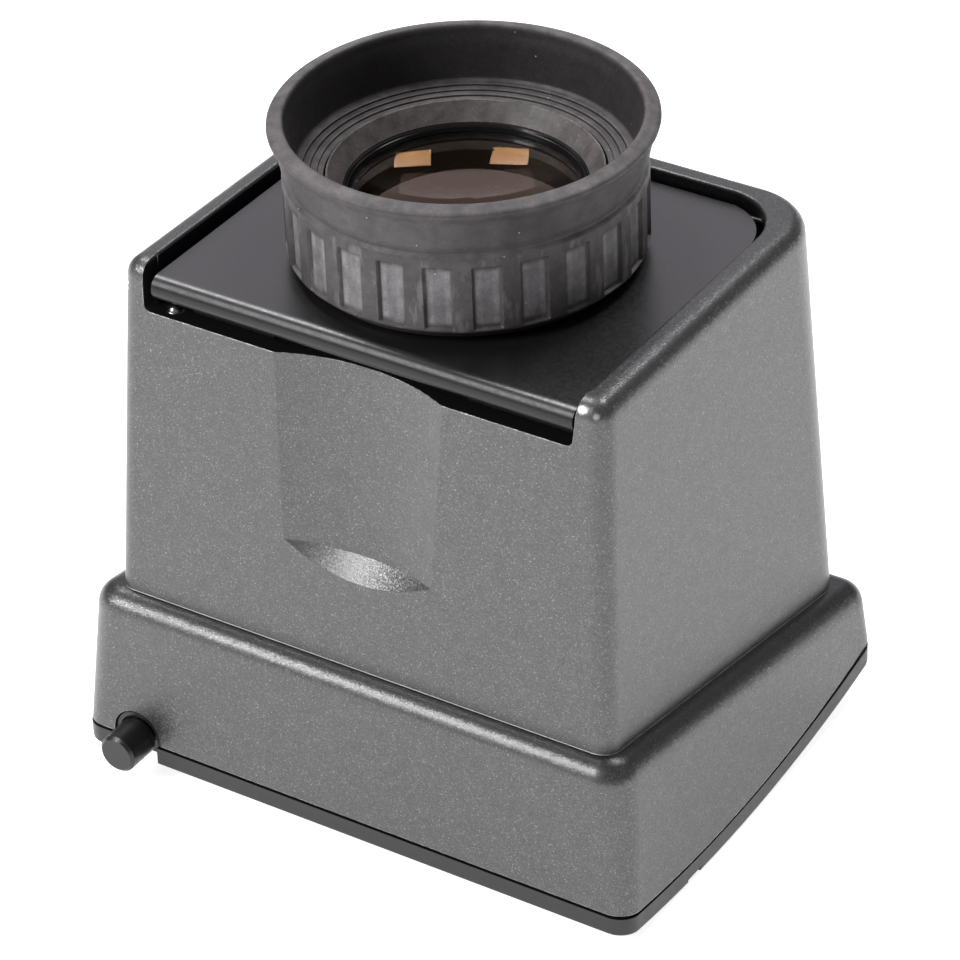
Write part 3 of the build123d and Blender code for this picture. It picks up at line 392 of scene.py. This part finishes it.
under = straight([(23.66, 12.15), (23.66, 2.1), (24.6, 1.92)], 0.8)
corner = catmull([(24.6, 1.92), (25.1, 2.0), (25.3, 2.4)], 0.08)
wall = straight([(25.3, 2.4), (25.3, 13.2)], 0.12)
neck = catmull([(25.3, 13.2), (25.22, 13.55), (24.9, 13.9), (24.78, 14.15), (25.1, 14.9), (25.35, 15.6), (25.72, 17.4), (26.25, 19.4),
                (26.75, 20.4), (26.98, 20.95), (26.86, 21.3), (26.5, 21.52), (26.0, 21.7), (25.45, 21.92), (25.05, 21.97), (24.74, 21.82),
                (24.52, 21.35), (24.36, 20.6), (24.02, 19.0), (23.78, 16.5), (23.66, 14.4), (23.58, 13.9), (23.3, 13.55)], 0.16)
steps = straight([(23.3, 13.55), (22.62, 13.5), (22.54, 13.44), (22.5, 13.12), (22.38, 13.10), (22.34, 13.30), (21.52, 13.26), (21.44, 13.20),
                  (21.40, 12.92), (21.30, 12.90), (21.26, 13.06), (20.50, 13.0), (20.42, 12.94), (20.38, 12.70), (20.26, 12.68),
                  (19.62, 12.55), (19.56, 12.45), (19.56, 12.2), (23.66, 12.15)], 0.3)
profile = []
for part in (under, corner, wall, neck, steps):
    for q in part:
        if not profile or math.hypot(q[0] - profile[-1][0], q[1] - profile[-1][1]) > 0.012:
            profile.append(q)
if math.hypot(profile[0][0] - profile[-1][0], profile[0][1] - profile[-1][1]) < 0.012:
    profile.pop()
turns = 960
verts, faces = [], []
count = len(profile)
pitch = 2 * math.pi / 24
for i in range(turns):
    th = 2 * math.pi * i / turns
    off = (th - math.radians(8.9) + pitch / 2) % pitch - pitch / 2
    across = smooth((math.radians(4.65) - abs(off)) / math.radians(0.62))
    for r_, z_ in profile:
        if r_ > 24.3 and z_ < 13.0:
            up_down = smooth((z_ - 2.35) / 0.3) * smooth((12.2 - z_) / 0.3)
            r_ = r_ - 0.50 * across * up_down * smooth((r_ - 24.3) / 0.5)
        verts.append((r_ * math.cos(th) * MM, EYE.y + r_ * math.sin(th) * MM, BOARD + z_ * MM))
for i in range(turns):
    a0, b0 = i * count, ((i + 1) % turns) * count
    for k in range(count):
        k2 = (k + 1) % count
        faces.append((a0 + k, b0 + k, b0 + k2, a0 + k2))
cup_me = bpy.data.meshes.new("eyecup_turned")
cup_me.from_pydata(verts, [], faces)
cup_me.update()
bm = bmesh.new()
bm.from_mesh(cup_me)
bmesh.ops.recalc_face_normals(bm, faces=bm.faces)
bm.to_mesh(cup_me)
bm.free()
for f in cup_me.polygons:
    f.use_smooth = True
cup_me.set_sharp_from_angle(angle=math.radians(42))
cup = bpy.data.objects.new("eyecup_turned", cup_me)
scene.collection.objects.link(cup)
cup_me.materials.append(rubber.m)
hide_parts("rubber_eyecup")
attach(cup, "focus_ring")

plate = plain("plate_black_v", (0.012, 0.012, 0.0125), 0.0, 0.38, 3000.0, 0.00002)
for n in ("base_plate", "button_bush"):
    put(n, plate.m)
knob = plain("knob_v", (0.012, 0.012, 0.0125), 0.0, 0.33, 3000.0, 0.00001)
put("release_button", knob.m)
put("board_hinge_pins", knob.m)
inner = plain("inner_black_v", (0.009, 0.009, 0.009), 0.0, 0.75, 2500.0, 0.00003)
for n in ("board_seat", "light_baffle", "film_gate", "pressure_frame", "pressure_foam"):
    put(n, inner.m)
cell = plain("cell_black_v", (0.016, 0.0155, 0.015), 0.3, 0.5, 3000.0, 0.00002)
for n in ("focus_ring", "focus_mount", "lens_spacer", "rear_retainer"):
    put(n, cell.m)


# dusty lens cell: pale haze and specks; ring edges painted lighter, a painted highlight on the edges, partly worn
# paint
def dusty_cell(name):
    a = Mat(name)
    nx, ny, nz = a.sep(a.nrm)
    cloud = a.noise(380.0, 5.0, 0.65)
    fine = a.noise(3200.0, 3.0, 0.6)
    haze = a.math("MULTIPLY", a.mrange(cloud, 0.30, 0.70, 0.35, 1.0), a.mrange(nz, 0.0, 0.8, 0.45, 1.0))
    col = a.mix(haze, (0.034, 0.030, 0.030), (0.135, 0.120, 0.118))
    col = a.mix(1.0, col, a.ramp(fine, [(0.25, 0.80), (0.75, 1.18)]), "MULTIPLY")
    tiny = a.mrange(a.voronoi(1500.0, out="Distance"), 0.10, 0.15, 0.6, 0.0)
    col = a.mix(a.math("MULTIPLY", tiny, a.mrange(cloud, 0.40, 0.65, 0.1, 1.0)), col, (0.42, 0.40, 0.38))
    # painted highlight on the ring edges, partly worn paint
    bev = a.t.nodes.new("ShaderNodeBevel")
    bev.samples = 4
    bev.inputs["Radius"].default_value = 0.00010
    geo = a.t.nodes.new("ShaderNodeNewGeometry")
    turn = a.vmath("DOT_PRODUCT", bev.outputs[0], geo.outputs["Normal"], out=1)
    edge = a.mrange(turn, 0.985, 0.85, 0.0, 0.8)
    col = a.mix(a.math("MULTIPLY", edge, a.mrange(cloud, 0.35, 0.55, 0.35, 1.0)), col, (0.62, 0.60, 0.58))
    a.set("Base Color", col)
    a.set("Roughness", a.mrange(fine, 0.3, 0.7, 0.42, 0.58))
    a.set("Specular IOR Level", 0.4)
    a.set("Normal", a.bump(fine, 0.00001, 0.5))
    return a


put("lens_cell", dusty_cell("cell_dusty_v").m)
gloss = plain("ring_gloss_v", (0.008, 0.008, 0.008), 0.0, 0.16, 3000.0, 0.000004)
put("lens_retainer", gloss.m)
steel = plain("steel_v", (0.55, 0.55, 0.56), 1.0, 0.3, 3000.0, 0.000004)
for n in ("gate_screws", "latch_slider", "spring_post", "base_hinge_pin", "shell_screws", "latch_catch",
          "mount_screws", "ring_keeper", "button_spring", "board_catch"):
    put(n, steel.m)
brass = plain("brass_v", (0.6, 0.45, 0.2), 1.0, 0.35, 3000.0, 0.000004)
put("cam_followers", brass.m)
opal = plain("opal_v", (0.78, 0.78, 0.76), 0.0, 0.45, 2000.0, 0.00001, 0.03)
put("diffuser", opal.m)

g = Mat("coated_glass_v")
g.set("Base Color", (0.80, 0.78, 0.78))
g.set("Roughness", 0.0)
g.set("IOR", 1.62)
g.set("Transmission Weight", 1.0)
g.set("Specular Tint", (0.66, 0.29, 0.075))
put("eye_lens", g.m)
put("field_lens", g.m)

# --------------------------------------------------------------------------
# floor and light
# --------------------------------------------------------------------------
me = bpy.data.meshes.new("floor")
bm = bmesh.new()
bmesh.ops.create_grid(bm, x_segments=1, y_segments=1, size=6.0)
bm.to_mesh(me)
bm.free()
floor = bpy.data.objects.new("floor", me)
scene.collection.objects.link(floor)
floor.location = (0, 0, -0.00002)
fm = Mat("floor_v")
fm.set("Base Color", (0.93, 0.93, 0.93))
fm.set("Roughness", 0.9)
fm.set("Specular IOR Level", 0.1)
fm.set("Emission Color", (1.0, 1.0, 1.0))
fm.set("Emission Strength", 0.85)
me.materials.append(fm.m)

world = bpy.data.worlds.new("world")
scene.world = world
world.use_nodes = True
bg = world.node_tree.nodes["Background"]
bg.inputs[0].default_value = (1.0, 1.0, 1.0, 1.0)
bg.inputs[1].default_value = 0.16


def area(name, pos, target, size, power, col=(1, 1, 1), turn=0.0):
    d = bpy.data.lights.new(name, "AREA")
    d.shape = "RECTANGLE"
    d.size, d.size_y = size
    d.energy = power
    d.color = col
    o = bpy.data.objects.new(name, d)
    scene.collection.objects.link(o)
    o.location = pos
    q = (Vector(target) - Vector(pos)).to_track_quat("-Z", "Y")
    o.rotation_euler = (q @ Matrix.Rotation(math.radians(turn), 3, "Z").to_quaternion()).to_euler()
    return o


def towards(az_deg, el_deg, dist):
    """A point seen from the object at that bearing (0 is the front, 90 the right) and height."""
    a, e = math.radians(az_deg), math.radians(el_deg)
    return (math.sin(a) * math.cos(e) * dist, -math.cos(a) * math.cos(e) * dist, 0.09 + math.sin(e) * dist)


C0 = (0, 0, 0.09)
area("soft_back", towards(166, 60, 1.15), C0, (0.33, 0.31), 4.9, turn=45)
area("soft_left", towards(-106, 61, 1.15), C0, (0.34, 0.32), 4.9, turn=45)
area("low_back_left", towards(-146, 33, 1.2), C0, (1.20, 0.90), 2.3, (0.94, 0.89, 1.0))
area("key_front_left", towards(-33, 32, 1.15), C0, (0.36, 0.54), 9.5)
